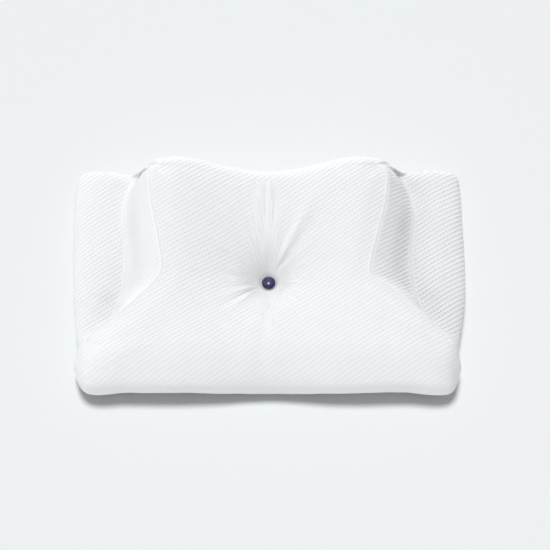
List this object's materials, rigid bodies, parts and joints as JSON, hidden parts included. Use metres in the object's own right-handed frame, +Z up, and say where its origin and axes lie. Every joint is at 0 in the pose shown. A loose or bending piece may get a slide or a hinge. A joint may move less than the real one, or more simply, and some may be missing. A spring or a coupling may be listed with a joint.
{
  "type": "contoured neck pillow",
  "caption": "Butterfly-shaped neck pillow with a raised crest, low side arms and a button-drawn head hollow, in a white textured knit cover.",
  "frame": {"origin": "under the middle of the pillow's width and depth, on the surface that it lies on", "axes": "+X along the pillow's width to its right, +Y towards the crest under the neck, +Z up out of the head hollow"},
  "size_m": [0.6095, 0.369, 0.1104],
  "materials": {
    "knit_cover": "matt white puffed knit in slanting rows",
    "button_navy": "glossy dark blue dome"
  },
  "bodies": {
    "root": {"pillow_body": "knit_cover", "tuft_button": "button_navy"}
  },
  "joints": []
}
